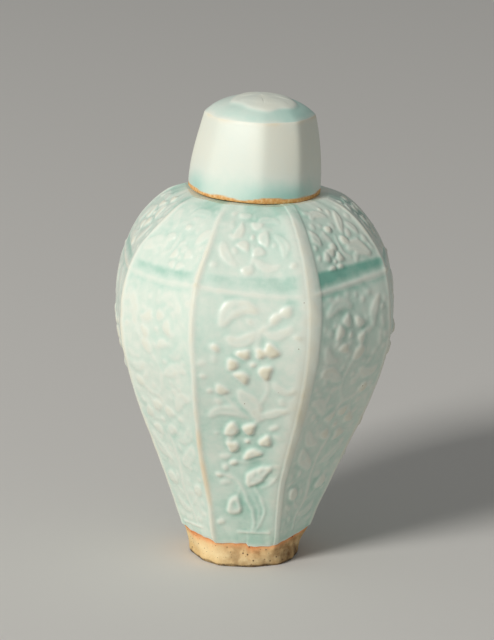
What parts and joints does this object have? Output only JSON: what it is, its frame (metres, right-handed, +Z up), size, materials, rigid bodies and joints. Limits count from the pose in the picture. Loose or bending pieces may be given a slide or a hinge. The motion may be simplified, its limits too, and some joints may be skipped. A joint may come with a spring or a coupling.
{
  "type": "covered vase",
  "caption": "Octagonal moulded porcelain vase with relief panels, short neck, unglazed foot and a lift-off cup-shaped cover.",
  "frame": {"origin": "middle of the foot, on the surface that the vase stands on", "axes": "+Z up along the vase's axis, -Y towards the panel that faces the viewer, +X to that viewer's right"},
  "size_m": [0.1502, 0.1502, 0.2507],
  "materials": {
    "body_glaze": "glossy transparent blue-green glaze over moulded white porcelain, cream on raised edges",
    "neck_glaze": "glossy thin blue-green glaze",
    "cover_glaze": "glossy thin cream-white glaze, blue-green where it pools",
    "bare_foot": "matt unglazed porcelain burnt orange in the kiln, with dark specks"
  },
  "bodies": {
    "vase": {"lower_body": "body_glaze", "shoulder": "body_glaze", "neck": "neck_glaze"},
    "cover": {"cover": "cover_glaze"}
  },
  "joints": [
    {"name": "cover_lift", "type": "slide", "parent": "vase", "child": "cover", "axis": [0, 0, 1], "range_m": [0, 0.08]}
  ]
}
